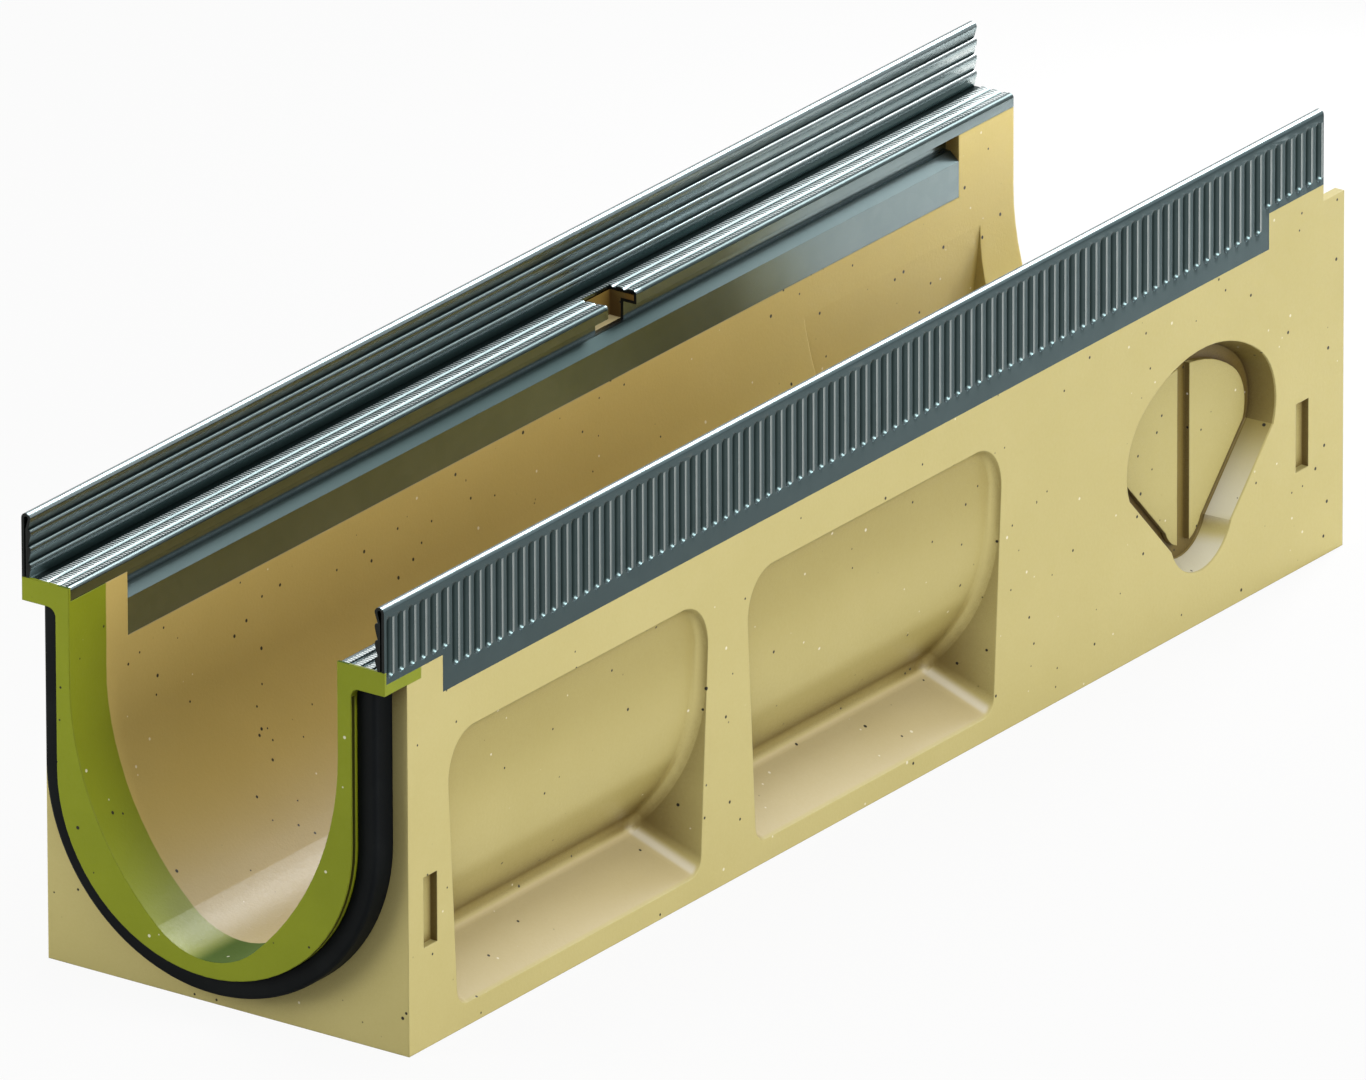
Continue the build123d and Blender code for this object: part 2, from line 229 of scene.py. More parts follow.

# %% [markdown]
# ## Polymer concrete: the side recesses
# Each side has two recesses that save material. Their back wall bulges out, because it is the
# outside of the round water way. It gets painted shade, least on the bulge, the sloped shelf below
# it gets a painted sheen where it catches the light, and a painted highlight runs along the fillet
# where the shelf turns into the end wall. The same masks serve both sides, because they use the
# distance from the middle plane.

# %% The side recesses
across = maths(tree, "ABSOLUTE", x)
recesses_middle, recesses_half_length, shell_reach = -77.0, 146.0, 55.3
sunk = outside_of(tree, step(tree, across, 65.8, 67.2))
in_row = below(tree, off(tree, y, recesses_middle), recesses_half_length)
recess = all_of(tree, sunk, above(tree, from_axis, shell_reach), in_row)

shelf = all_of(tree, recess, step(tree, facing_z, 0.4, 0.7))
sand = toned(tree, shelf, sand, (1.03, 1.0, 1.3))
# painted highlight on the fillet between the shelf and the end wall
fillet_highlight = all_of(tree, shelf, step(tree, facing_y, -0.25, -0.5))
sand = blend(tree, part_of(tree, fillet_highlight, 0.8), sand, (0.66, 0.62, 0.50, 1))

bulge = all_of(tree, step(tree, z, 41.0, 49.0), outside_of(tree, step(tree, z, 52.0, 88.0)))
upright = outside_of(tree, step(tree, facing_z, 0.15, 0.45))
not_end_wall = outside_of(tree, step(tree, facing_y, -0.3, -0.6))
shade = all_of(tree, recess, upright, not_end_wall, outside_of(tree, part_of(tree, bulge, 0.85)))
sand = toned(tree, shade, sand, (0.76, 0.73, 0.62))
print("with the recesses", len(tree.nodes), "nodes")

# %% [markdown]
# ## Polymer concrete: the preform
# The rounded triangle is the mark for a side connection, which is knocked out on site. A flat
# plug stands on its floor and is split by a slot, and it gets a little painted shade. What shows of
# the floor is a narrow well round the plug, painted dark as deep shade, and the drafted wall of the
# mark has painted shade at the top and a painted highlight at the bottom, where it faces the light.

# %% The preform
mark_place, mark_half_length, sunk_reach, floor_reach = 177.65, 46.0, 66.9, 59.1
slot_middle, slot_half_height, slot_half_length = 55.5, 32.5, 6.0
along = off(tree, y, mark_place)
below_face = all_of(tree, below(tree, across, sunk_reach), above(tree, across, shell_reach))
mark = all_of(tree, below(tree, along, mark_half_length), below_face)
level = step(tree, maths(tree, "ABSOLUTE", facing_x), 0.5, 0.7)
bottom = below(tree, across, floor_reach)
over_slot = above(tree, off(tree, z, slot_middle), slot_half_height)
beside_slot = above(tree, along, slot_half_length)
rim = all_of(tree, outside_of(tree, level), maths(tree, "MAXIMUM", over_slot, beside_slot))

plug = all_of(tree, mark, level, outside_of(tree, bottom))
sand = toned(tree, plug, sand, (0.9, 0.9, 0.84))
well = all_of(tree, mark, bottom, maths(tree, "MAXIMUM", level, rim))
sand = toned(tree, well, sand, (0.42, 0.36, 0.22))
wall = all_of(tree, mark, rim, outside_of(tree, bottom))
sand = toned(tree, all_of(tree, wall, step(tree, z, 36.0, 60.0)), sand, (0.52, 0.47, 0.32))
lower_bend = step(tree, off(tree, z, 26.2), 0.5, 4.5)
shine = all_of(tree, wall, lower_bend, step(tree, z, 54.0, 32.0))
sand = blend(tree, part_of(tree, shine, 0.8), sand, (0.68, 0.66, 0.54, 1))
print("with the preform", len(tree.nodes), "nodes")

# %% [markdown]
# ## Polymer concrete: the lock pocket
# Under the notch in the rail's ledge the casting has a small pocket for the lug of the grating
# lock. Its walls lie in deep shade, so they are toned down, and its floor is not.

# %% The lock pocket
pocket_place, pocket_half_length, pocket_floor = 32.75, 7.8, 118.6
in_length = below(tree, off(tree, y, pocket_place), pocket_half_length)
pocket_wall = outside_of(tree, step(tree, facing_z, 0.3, 0.7))
pocket = all_of(tree, in_length, above(tree, z, pocket_floor), pocket_wall)
sand = toned(tree, pocket, sand, (0.62, 0.5, 0.35))
print("with the lock pocket", len(tree.nodes), "nodes")

# %% [markdown]
# ## Polymer concrete: the green tongue
# The tongue end is tinted green through and through, and the tint stops at a nearly straight line
# a little way along the water way. The line wavers by a millimetre with the same noise as the
# ground colour, as a poured tint does. Low down, where the green floor turns away from the light,
# it is darker.

# %% The green tongue
tint_end, tint_fade, tint_waver = 18.6, 0.6, 1.5
wavering = maths(tree, "ADD", y, maths(tree, "MULTIPLY", maths(tree, "SUBTRACT", drift, 0.5), tint_waver))
near_end = outside_of(tree, step(tree, wavering, front + tint_end, front + tint_end + tint_fade))
end_face = all_of(tree, step(tree, from_axis, 58.5, 59.5), below(tree, z, 121.3))
tint = all_of(tree, near_end, outside_of(tree, end_face))
green = blend(tree, step(tree, drift, 0.3, 0.7), (0.195, 0.232, 0.006, 1), (0.225, 0.265, 0.009, 1))
# painted shade: the low green floor, which turns away from the light, is darkened
green_floor = all_of(tree, invert, step(tree, facing_x, 0.27, 0.0), near_end)
green = blend(tree, green_floor, green, (0.045, 0.09, 0.001, 1))
colour = blend(tree, tint, sand, green)
print("with the green tongue", len(tree.nodes), "nodes")

# %% [markdown]
# ## Polymer concrete: painted shade in corners
# Light reaches a corner less well than a face, so corners get painted shade. The node for ambient
# occlusion measures how open each point is, within 26 mm. It looks at the casting alone, because
# the floor must not darken the sides, and faces that look up keep most of their light.

# %% Dark corners
openness = put(tree, "AmbientOcclusion", samples=6, only_local=True, inputs={"Distance": 0.026})
painted_corner_shade = outside_of(tree, step(tree, openness.outputs["AO"], 0.42, 0.97))
faces_up = part_of(tree, step(tree, facing_z, 0.3, 0.7), 0.8)
painted_corner_shade = all_of(tree, painted_corner_shade, outside_of(tree, faces_up))
colour = toned(tree, painted_corner_shade, colour, (0.28, 0.22, 0.13))
print("with dark corners", len(tree.nodes), "nodes")

# %% [markdown]
# ## Polymer concrete: dark and pale grains
# Single dark and pale grains of sand show in the skin. A picture of specks would stretch over the
# round parts, so the grains are points scattered through the solid, and the surface cuts through
# them. Each point is kept or dropped by chance, and each has its own size.

# %% The grains


def specks(tree, point, spacing, size, share, shift):
    """A mask of small round specks, scattered through the whole solid, of which a share is kept."""
    moved = put(tree, "VectorMath", operation="ADD", inputs={0: point, 1: (shift, shift, shift)})
    cells = put(tree, "TexVoronoi", inputs={"Vector": moved.outputs[0], "Scale": 1 / spacing})
    chance = put(tree, "TexWhiteNoise", inputs={"Vector": cells.outputs["Position"]})
    chosen = put(tree, "SeparateColor", inputs={0: chance.outputs["Color"]})
    kept = below(tree, chosen.outputs[0], share)
    spread = maths(tree, "ADD", maths(tree, "MULTIPLY", chosen.outputs[1], 0.5), 0.6)
    radius = maths(tree, "MULTIPLY", spread, size / spacing)
    near = outside_of(tree, maths(tree, "DIVIDE", cells.outputs["Distance"], radius))
    return all_of(tree, kept, step(tree, near, 0.0, 0.35))


dark_grains = specks(tree, point, spacing=0.0046, size=0.00068, share=0.27, shift=0.0)
colour = blend(tree, dark_grains, colour, (0.012, 0.01, 0.008, 1))
pale_grains = specks(tree, point, spacing=0.0048, size=0.0006, share=0.16, shift=3.7)
colour = blend(tree, part_of(tree, pale_grains, 0.6), colour, (0.9, 0.87, 0.76, 1))
tree.links.new(colour, shader.inputs["Base Color"])
print("with the grains", len(tree.nodes), "nodes")

# %% [markdown]
# ## Polymer concrete: gloss and edges
# The skin is satin, and the sand breaks its gloss a little. The front face shows no shine, and
# neither does the shaded green floor, so both are more matt. A cast edge is never quite sharp, so
# the bevel node rounds the light on each edge by half a millimetre, and the sand gives a very
# small bump.

# %% Gloss and edges
gloss = put(tree, "MapRange", inputs={0: grain, 1: 0.3, 2: 0.7, 3: 0.36, 4: 0.46}).outputs[0]
front_face = step(tree, facing_y, -0.7, -0.9)
matt = maths(tree, "MAXIMUM", part_of(tree, green_floor, 0.5), part_of(tree, front_face, 0.4))
tree.links.new(maths(tree, "ADD", gloss, matt), shader.inputs["Roughness"])
soft_edge = put(tree, "Bevel", samples=6, inputs={"Radius": 0.0006}).outputs[0]
sandy = {"Strength": 0.25, "Distance": 0.0002, "Height": grain, "Normal": soft_edge}
tree.links.new(put(tree, "Bump", inputs=sandy).outputs[0], shader.inputs["Normal"])
shader.inputs["Specular IOR Level"].default_value = 0.36
print("concrete has", len(tree.nodes), "nodes")

# %% [markdown]
# ## Galvanised steel: the zinc
# The rails are rolled from zinc-coated strip. Zinc is a dull mirror: it shows what is round it,
# darker and a little blue. Its crystals are a few millimetres wide and each reflects slightly
# differently, and the rollers leave faint lines along the strip. The outer sheet is darker than
# the rest.

# %% The zinc
zinc, tree, shader = new_material("galvanised_steel")
point = put(tree, "TexCoord").outputs["Object"]
crystals = put(tree, "TexVoronoi", inputs={"Vector": point, "Scale": 220.0, "Randomness": 1.0})
spangle = put(tree, "SeparateColor", inputs={0: crystals.outputs["Color"]}).outputs[0]
cloud = noise(tree, point, 45.0, 3.0)
shade = maths(tree, "ADD", part_of(tree, spangle, 0.2), part_of(tree, cloud, 0.8))
metal = blend(tree, step(tree, shade, 0.2, 0.8), (0.175, 0.222, 0.230, 1), (0.200, 0.250, 0.258, 1))
across = maths(tree, "ABSOLUTE", put(tree, "SeparateXYZ", inputs={0: point}).outputs[0])
metal = toned(tree, step(tree, across, 0.0666, 0.0674), metal, (0.50, 0.58, 0.60))

stretched = put(tree, "Mapping", inputs={0: point, 3: (1500.0, 18.0, 1500.0)}).outputs[0]
rolled = {"Strength": 0.015, "Distance": 0.00004, "Height": noise(tree, stretched, 1.0, 3.0)}
tree.links.new(put(tree, "Bump", inputs=rolled).outputs[0], shader.inputs["Normal"])
print("zinc has", len(tree.nodes), "nodes")

# %% [markdown]
# ## Galvanised steel: painted shade, painted highlights and cut edges
# The zinc gets painted shade in the hollows between the beads and flutes and on the lip and slope,
# and painted highlights on the ribs, the teeth and the far flange. The faces at the cut ends, which
# look along the rail, are made nearly black. The mesh carries one number at each point for the
# painted light: 1 is full painted shade at the bottom of a hollow, 0 is plain zinc and -1 is a full
# painted highlight. The brightest teeth are painted near white and lose their mirror, so their
# painted highlight stays white from any side.

# %% Painted shade, painted highlights and cut edges
painted_shade_and_highlight = put(tree, "Attribute", attribute_name="painted_shade_and_highlight").outputs["Fac"]
painted_highlight = maths(tree, "MULTIPLY", painted_shade_and_highlight, -1, clamp=True)
face = put(tree, "NewGeometry").outputs["True Normal"]
facing_y = put(tree, "SeparateXYZ", inputs={0: face}).outputs[1]
cut_edge = above(tree, maths(tree, "ABSOLUTE", facing_y), 0.93)
# painted shade in the hollows, then painted highlights, then the nearly black cut ends
metal = blend(tree, painted_shade_and_highlight, metal, (0.014, 0.030, 0.030, 1))
metal = blend(tree, painted_highlight, metal, (0.80, 0.85, 0.84, 1))
metal = blend(tree, cut_edge, metal, (0.02, 0.022, 0.022, 1))
tree.links.new(metal, shader.inputs["Base Color"])

dull = maths(tree, "ADD", part_of(tree, shade, 0.06), 0.2)
for mask, amount in ((maths(tree, "MAXIMUM", painted_shade_and_highlight, 0), 0.15), (painted_highlight, 0.4), (cut_edge, 0.35)):
    dull = maths(tree, "ADD", dull, part_of(tree, mask, amount))
tree.links.new(dull, shader.inputs["Roughness"])
tree.links.new(outside_of(tree, step(tree, painted_highlight, 0.55, 0.9)), shader.inputs["Metallic"])
print("zinc with its wear has", len(tree.nodes), "nodes")

# %% [markdown]
# ## Seal rubber
# The seal is a soft black profile. Rubber is matt with a fine moulded grain and a trace of dust,
# so it gets a rough surface with a small bump and a colour that is only just off black.

# %% The rubber
rubber, tree, shader = new_material("seal_rubber_black")
point = put(tree, "TexCoord").outputs["Object"]
dust = noise(tree, point, 60.0, 5.0)
pores = noise(tree, point, 1400.0, 2.0)
black = blend(tree, step(tree, dust, 0.45, 0.8), (0.002, 0.003, 0.004, 1), (0.005, 0.0065, 0.0075, 1))
tree.links.new(black, shader.inputs["Base Color"])
tree.links.new(maths(tree, "ADD", part_of(tree, dust, 0.2), 0.45), shader.inputs["Roughness"])
pitted = put(tree, "Bump", inputs={"Strength": 0.3, "Distance": 0.0001, "Height": pores})
tree.links.new(pitted.outputs[0], shader.inputs["Normal"])
shader.inputs["Specular IOR Level"].default_value = 0.1
print("rubber has", len(tree.nodes), "nodes")

# %% [markdown]
# ## The casting
# The casting keeps the shape from the CAD: its rounded water way, drafted recesses and the mark
# for a side connection are already right there. It only takes the concrete as its material.

# %% Dress the casting
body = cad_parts["channel_body"]
body.data.materials.clear()
body.data.materials.append(concrete)
print("casting has", len(body.data.polygons), "faces")

# %% [markdown]
# ## Rows of points
# A rolled rail is one outline pulled along a line, but two parts of it change along the way: the
# outer sheet has pressed grooves and the ledge has a fine knurl. So the rail is built as rows of
# points that run along it. A plain row needs few points, and a row through the knurl needs
# many. Two rows with different numbers of points are joined like a zip: whichever row is behind
# moves on by one point, and makes one triangle.

# %% Join rows like a zip


def zip_rows(first, second, faces):
    """Triangles or quads between two rows, each a list of (place, vertex number)."""
    i = j = 0
    while i < len(first) - 1 or j < len(second) - 1:
        step_first = first[i + 1][0] if i < len(first) - 1 else math.inf
        step_second = second[j + 1][0] if j < len(second) - 1 else math.inf
        if abs(step_first - step_second) < 1e-7:
            faces.append((first[i][1], first[i + 1][1], second[j + 1][1], second[j][1]))
            i, j = i + 1, j + 1
        elif step_first < step_second:
            faces.append((first[i][1], first[i + 1][1], second[j][1]))
            i += 1
        else:
            faces.append((first[i][1], second[j + 1][1], second[j][1]))
            j += 1


sharp_angle = 32


def mesh_piece(name, points, faces, material, sharp=sharp_angle, painted_shade_and_highlight=None):
    """An object from points in millimetres, smooth except where faces meet at a sharp angle."""
    mesh = bpy.data.meshes.new(name)
    mesh.from_pydata([mm(*p) for p in points], [], faces)
    if painted_shade_and_highlight:
        mesh.attributes.new("painted_shade_and_highlight", "FLOAT", "POINT").data.foreach_set("value", painted_shade_and_highlight)
    mesh.materials.append(material)
    mesh.shade_smooth()
    mesh.set_sharp_from_angle(angle=math.radians(sharp))
    piece = bpy.data.objects.new(name, mesh)
    bpy.context.scene.collection.objects.link(piece)
    return piece


print("row tools ready")

# %% [markdown]
# ## The fold and the beaded flange
# The outline goes once round the strip. It comes up the outer skirt, turns over at the top in a
# fold, and goes down the inner flange over long beads that stiffen it. A bead has a short upper
# flank and a long lower one, so its points crowd together at the top.

# %% The fold and the flange
rail_length = 500.0
rail_start, rail_end = front, front + rail_length
half_body, half_clear = 67.5, 50.0
flange_inside, flange_top, flange_back = 64.0, 144.75, 65.1
ledge_valley = 128.4
bead_count, bead_depth = 3, 1.1
flank_shares = (0.008, 0.02, 0.035, 0.055, 0.08, 0.12, 0.18, 0.26, 0.38, 0.52, 0.68, 0.84, 1.0)


def beads(start, end, count, depth):
    """Beads down a straight run, without its first point."""
    run = []
    for k in range(count):
        for t in flank_shares:
            bulge = depth * math.sin(math.pi * t**0.45) if t < 1 else 0.0
            share = (k + t) / count
            x = start[0] + (end[0] - start[0]) * share - bulge
            run.append((x, start[1] + (end[1] - start[1]) * share))
    return run


def arc(centre, radius, begin, end, pieces):
    """Points on an arc in X and Z, both ends included, with angles in degrees."""
    angles = [math.radians(begin + (end - begin) * k / pieces) for k in range(pieces + 1)]
    return [(centre[0] + radius * math.cos(a), centre[1] + radius * math.sin(a)) for a in angles]


fold_centre = (65.75, 148.25)
fold = arc(fold_centre, 1.75, 0, 180, 12)
first_valley = (flange_back, flange_top)
flange = [first_valley] + beads(first_valley, (flange_back, ledge_valley), bead_count, bead_depth)
print("fold and flange have", len(fold + flange), "points")

# %% [markdown]
# ## The ledge, the lip and the lock groove
# Under the flange the strip turns in and makes the ledge that carries the grating, with three low
# ridges. It ends in a round lip, goes back into the groove that a lock bar hooks under, comes out
# on a slope and runs down as the inner skirt. Each point of a ridge says which kind of row it
# belongs to: plain, straight with its own tone, or toothed.

# %% The ledge, the lip and the groove
ledge_start, ledge_top = 62.5, 129.0
ridge_count = 3
ridge_pitch = (ledge_start - half_clear) / ridge_count
plain, straight, toothed = 0, 1, 2
ridge = [(0.35, 0.0, plain), (0.45, 0.35, plain), (0.55, 0.5, straight)]
ridge += [(0.75, 0.55, toothed), (1.4, 0.6, toothed), (2.1, 0.58, toothed), (2.8, 0.5, toothed)]
ridge += [(3.1, 0.4, straight), (3.5, 0.1, plain), (3.75, 0.0, plain)]
ledge = [(ledge_start, ledge_valley, plain)]
for k in range(ridge_count):
    first = ledge_start - k * ridge_pitch
    ledge += [(first - reach, ledge_valley + lift, kind) for reach, lift, kind in ridge]
ledge = ledge[:-4] + [(52.0, ledge_top, straight), (51.7, ledge_top, plain)]

lip_bottom, lip_radius = 124.6, 1.3
lip = arc((half_clear + lip_radius, ledge_top - lip_radius), lip_radius, 90, 180, 8)
lip += [(half_clear, 124.8), (50.2, lip_bottom)]
groove = [(54.8, lip_bottom), (55.0, 124.4), (55.0, 119.0), (53.3, 118.95)]
groove += [(half_clear, 116.0), (half_clear, 115.9)]
slope = groove[-3:-1]
inner_skirt = [(half_clear, 104.0), (51.0, 104.0)]
print("ledge, lip, groove and skirt have", len(ledge + lip + groove + inner_skirt), "points")

# %% [markdown]
# ## The hidden side of the strip
# The strip has a thickness, so the outline goes all the way back on the hidden side, a millimetre
# behind the seen one. Nobody sees it, so it has few points, but it makes the rail a closed solid.

# %% The hidden side
outer_skirt_bottom, sheet_inside = 113.0, 66.5
hidden = [(51.0, 115.4), (56.0, 118.4), (56.0, 125.6), (51.0, 125.6), (51.0, 127.5)]
hidden += [(ledge_start, 127.5), (65.95, 127.5), (65.95, flange_top), (65.0, 148.25)]
hidden += arc(fold_centre, 0.75, 180, 0, 6)[1:] + [(sheet_inside, outer_skirt_bottom)]
print("hidden side has", len(hidden), "points")

# %% [markdown]
# ## Pressed grooves
# The grooves in the outer sheet are pressed with a round-ended die, so each one is a dimple round
# a short upright line. The depth at a point depends only on how far it is from that line. A
# boolean cut for each groove would also work, but 89 of them are slow and leave ragged shading.
# Near both ends of the rail the skirt is cut short and so are the grooves.

# %% How deep the sheet is pressed
flute_count = 89
flute_pitch = rail_length / flute_count
flute_half = 1.6
flute_depth = 0.9
flute_top, flute_bottom, end_flute_bottom = 146.5, 119.6, 126.8
end_zone = 30.0


def flute_low(k):
    """How far down flute number k goes."""
    place = flute_pitch * (k + 0.5)
    from_end = min(place, rail_length - place) - flute_half
    return end_flute_bottom if from_end < end_zone else flute_bottom


def pressed(along, height):
    """The depth of the outer sheet at a place along the rail and a height."""
    k = min(int(along / flute_pitch), flute_count - 1)
    aside = along - flute_pitch * (k + 0.5)
    low, high = flute_low(k) + flute_half, flute_top - flute_half
    beyond = max(low - height, height - high, 0.0)
    reach = math.hypot(aside, beyond) / flute_half
    return flute_depth * (1 - reach**2) ** 0.8 if reach < 1 else 0.0


print("flutes:", flute_count, "at a pitch of", round(flute_pitch, 2), "mm")

# %% [markdown]
# ## Where the points go
# Points are spent where the shape turns. Across a flute they crowd at its rim, up and down they
# crowd at its round ends, a plain row has one each centimetre, and the knurl on the ridges has two
# for each tooth. Its teeth are pressed down a tenth of a millimetre, straight across the ledge.

# %% Where the points go
flute_steps = [-0.5, -0.2848, -0.275, -0.25, -0.2, -0.14, -0.07, 0.0, 0.07, 0.14, 0.2, 0.25, 0.275, 0.2848]
flute_places = [flute_pitch * (k + 0.5 + s) for k in range(flute_count) for s in flute_steps]
flute_places[0] = 0.0
flute_places.append(rail_length)
sheet_heights = [outer_skirt_bottom, 117.0, 119.6, 119.7, 120.0, 120.4, 120.8, 121.2, 124.0]
sheet_heights += [126.8, 126.9, 127.2, 127.6, 128.0, ledge_valley, 136.0, 144.9, 145.3, 145.7, 146.1, 146.4]
sheet_heights.append(flute_top)
knurl_pitch, knurl_drop = 1.4, 0.1
knurl_places = np.linspace(0.0, rail_length, int(rail_length / knurl_pitch) * 2 + 1)
plain_places = np.linspace(0.0, rail_length, 51)
print("the outer sheet is a grid of", len(flute_places), "by", len(sheet_heights), "points")

# %% [markdown]
# ## Painted light along the rail
# The painted light changes from end to end: the flange gets painted shade at the near end and a
# painted highlight at the far one, the low teeth get their darkest painted shade in the middle, and
# the lip, the slope and the straight ridge rows get painted shade of their own. Each line gives a
# few marks along the rail in millimetres and the number of painted shade or highlight there, and
# the values between two marks lie on a straight line. The high teeth are given as brightness, so
# the next cell turns their sign.

# %% Painted light along the rail
knurl_highlight = np.interp(knurl_places, (0, 120, 300, 380, 500), (1.0, 0.85, 0.8, 0.95, 0.95))
knurl_low = np.interp(knurl_places, (0, 90, 140, 300, 360, 500), (0.2, 0.25, 0.6, 0.6, 0.25, 0.3))
ridge_tone = np.interp(knurl_places, (0, 60, 200, 300, 380, 500), (0.0, 0.3, 0.45, 0.45, 0.3, 0.3))
flange_tone = np.interp(plain_places, (0, 250, 300, 380, 500), (0.75, 0.78, 0.45, -0.5, -0.54))
slope_tone = np.interp(plain_places, (0, 200, 300, 440, 500), (0.8, 0.92, 0.91, 0.6, 0.55))
lip_tone = np.interp(plain_places, (0, 60, 200, 300, 380, 500), (0.4, 0.7, 0.8, 0.8, 0.7, 0.65))
rib_tone = -0.55
print("flange tone from", flange_tone[0], "to", flange_tone[-1])

# %% [markdown]
# ## The rows of one rail
# Now the outline, the places and the tones come together. Each function below gives the rows of
# one stretch of the outline. A row is its places, its outline point at each place and its number of
# painted shade or highlight at each place. A flute gets painted shade by its depth, and its rim on
# the side towards the far end gets a painted highlight, the rib tone. On the flange the tone says
# how much painted shade, or towards the far end painted highlight, spreads over a whole valley
# between two beads, and the rest stays as painted shade at the bottom of the valley.

# %% The rows of one rail
rib_start, rib_top = 0.6, 146.0
valley_fade = 0.3


def plain_row(point, tone=0.0):
    """A row that keeps one point of the outline all along the rail."""
    return plain_places, [point] * len(plain_places), tone + 0 * plain_places


def sheet_row(height):
    """A row along the outer sheet at one height, through its flutes."""
    depths = [pressed(place, height) for place in flute_places]
    # painted shade in each flute, by its depth
    tones = [depth / flute_depth for depth in depths]
    for k in range(flute_count):
        if flute_low(k) + rib_start < height < rib_top:
            tones[(k + 1) * len(flute_steps) - 1] = rib_tone
    return flute_places, [(half_body - depth, height) for depth in depths], tones


def flange_row(point):
    """A row along the flange, with painted shade or painted highlight in the valleys between its beads."""
    depth = min(1.0, max(0.0, (point[0] - flange_inside) / bead_depth))
    return plain_row(point, flange_tone * min(1.0, 2.2 * depth) + (1 - flange_tone) * depth**4)


def ledge_row(x, z, kind):
    """A row along the ledge: plain with painted shade in a valley, and on a ridge straight with painted
    shade or toothed with painted shade and highlights.
    """
    if kind == plain:
        return plain_row((x, z), max(0.0, 1 - (z - ledge_valley) / valley_fade))
    low = [kind == toothed and k % 2 for k in range(len(knurl_places))]
    tones = np.where(low, knurl_low, -knurl_highlight if kind == toothed else ridge_tone)
    return knurl_places, [(x, z - knurl_drop * down) for down in low], tones


def rail_rows():
    """All the rows of the right rail, once round the strip."""
    rows = [sheet_row(height) for height in sheet_heights]
    rows += [plain_row(point) for point in fold]
    rows += [flange_row(point) for point in flange]
    rows += [ledge_row(*point) for point in ledge]
    # the lip rows here and the slope rows below carry painted shade along the rail
    rows += [plain_row(point, lip_tone) for point in lip[:8]]
    rows += [plain_row(point) for point in lip[8:]]
    rows += [plain_row(point, slope_tone if point in slope else 0.0) for point in groove]
    return rows + [plain_row(point) for point in inner_skirt + hidden]


print("the rail has", len(rail_rows()), "rows")

# %% [markdown]
# ## Build one rail
# The rows are zipped together one after the other, the last one to the first, and each end is
# closed with one face. Both rails are alike, so only the right one is built from rows.

# %% Build one rail


def rail_mesh(name):
    """The right rail before it is cut back near its ends."""
    points, faces, numbered, painted_shade_and_highlight = [], [], [], []
    for places, section, tones in rail_rows():
        row = []
        for place, (x, z), tone in zip(places, section, tones):
            row.append((place, len(points)))
            points.append((x, rail_start + place, z))
            painted_shade_and_highlight.append(tone)
        numbered.append(row)
    for k, row in enumerate(numbered):
        zip_rows(row, numbered[(k + 1) % len(numbered)], faces)
    faces.append([row[0][1] for row in numbered])
    faces.append([row[-1][1] for row in reversed(numbered)])
    return mesh_piece(name, points, faces, zinc, painted_shade_and_highlight=painted_shade_and_highlight)


rail = rail_mesh("edge_rail_right_detailed")
print("rail has", len(rail.data.polygons), "faces")

# %% [markdown]
# ## Cut the rail back
# The finished rail has a shorter skirt near both ends, where it passes over the tongue and the
# socket, and a notch in its ledge for the grating's lock. Boolean cutters take these away, as a
# press would.

# %% Cut the ends and the notch


def block(low, high):
    """A temporary box between two corners, used as a cutter."""
    pairs = list(zip(low, high))
    corners = [(x, y, z) for x in pairs[0] for y in pairs[1] for z in pairs[2]]
    faces = [(0, 1, 3, 2), (4, 6, 7, 5), (0, 4, 5, 1), (2, 3, 7, 6), (0, 2, 6, 4), (1, 5, 7, 3)]
    return mesh_piece("cutter", corners, faces, zinc)


def cut(piece, cutters):
    """Takes the cutters away from a piece and deletes them."""
    for cutter in cutters:
        modifier = piece.modifiers.new("cut", "BOOLEAN")
        modifier.operation, modifier.solver, modifier.object = "DIFFERENCE", "MANIFOLD", cutter
        with bpy.context.temp_override(object=piece, active_object=piece):
            bpy.ops.object.modifier_apply(modifier="cut")
        bpy.data.objects.remove(cutter)


notch_start, notch_end, notch_back = 281.0, 296.0, 60.2
cut_inside, cut_outside, cut_bottom = half_clear - 1, half_body + 1, 100.0
end_skirt_bottom, land_skin = 125.0, 1.0
notch = block((cut_inside, front + notch_start, 119.0), (notch_back, front + notch_end, 131.0))
cutters = [notch]
for start, end in ((front - 1, front + end_zone), (rail_end - end_zone, rail_end + 1)):
    cutters.append(block((cut_inside, start, cut_bottom), (ledge_start, end, lip_bottom)))
    cutters.append(block((ledge_start, start, cut_bottom), (cut_outside, end, end_skirt_bottom)))
cutters.append(block((cut_inside, front - 1, cut_bottom), (cut_outside, front + land_skin, ledge_top)))
cut(rail, cutters)
rail.data.shade_smooth()
rail.data.set_sharp_from_angle(angle=math.radians(sharp_angle))
print("after the cuts the rail has", len(rail.data.polygons), "faces")

# %% [markdown]
# ## The other rail
# The left rail is the mirror image of the right one, so its mesh is a mirrored copy. Mirroring
# turns the faces inside out, so they are flipped back. Each rail then stands for its CAD node.

# %% Mirror the rail
other_mesh = rail.data.copy()
mirrored = bmesh.new()
mirrored.from_mesh(other_mesh)
for vertex in mirrored.verts:
    vertex.co.x = -vertex.co.x
bmesh.ops.reverse_faces(mirrored, faces=mirrored.faces)
mirrored.to_mesh(other_mesh)
mirrored.free()
other_rail = bpy.data.objects.new("edge_rail_left_detailed", other_mesh)
bpy.context.scene.collection.objects.link(other_rail)
for piece, node in ((rail, "edge_rail_right"), (other_rail, "edge_rail_left")):
    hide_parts(node)
    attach(piece, "root")
print("both rails stand for their CAD nodes")

